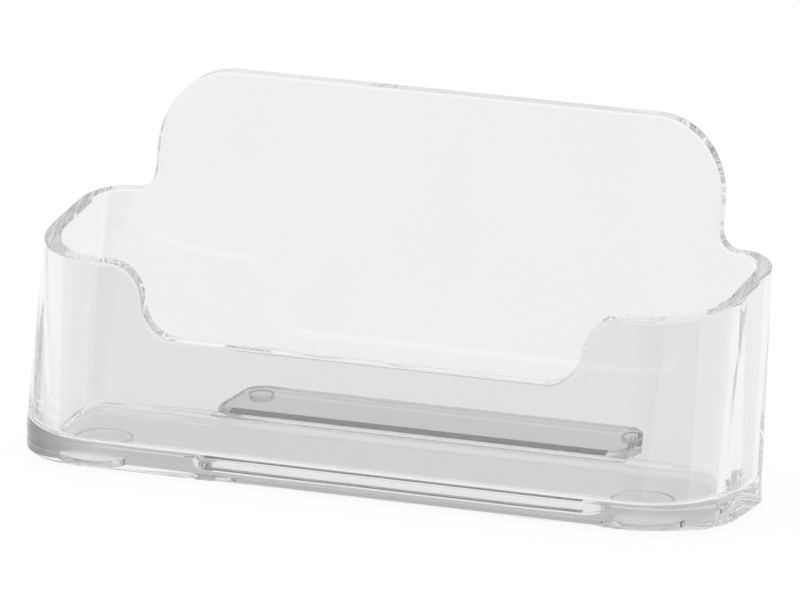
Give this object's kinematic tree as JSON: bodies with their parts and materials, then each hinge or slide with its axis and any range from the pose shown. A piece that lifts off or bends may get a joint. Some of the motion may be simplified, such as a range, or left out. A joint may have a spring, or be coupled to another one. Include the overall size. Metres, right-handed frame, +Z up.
{
  "type": "business card holder stand",
  "caption": "Clear desk stand for business cards: a rounded pocket with a wide front cut-out, a tall back panel that leans back, and a base plate with a rear foot.",
  "frame": {"origin": "centre of the bounding box on the surface that the round feet stand on", "axes": "+X along the width to the right seen from the front, +Y from the front cut-out to the back panel, +Z up"},
  "size_m": [0.0978, 0.036, 0.0467],
  "materials": {
    "clear_plastic": "polished clear moulding",
    "foot_pad": "clear soft polyurethane"
  },
  "bodies": {
    "root": {"card_pocket": "clear_plastic", "base_plate": "clear_plastic", "foot_pad_front_left": "foot_pad", "foot_pad_front_right": "foot_pad", "foot_pad_rear_left": "foot_pad", "foot_pad_rear_right": "foot_pad"}
  },
  "joints": []
}
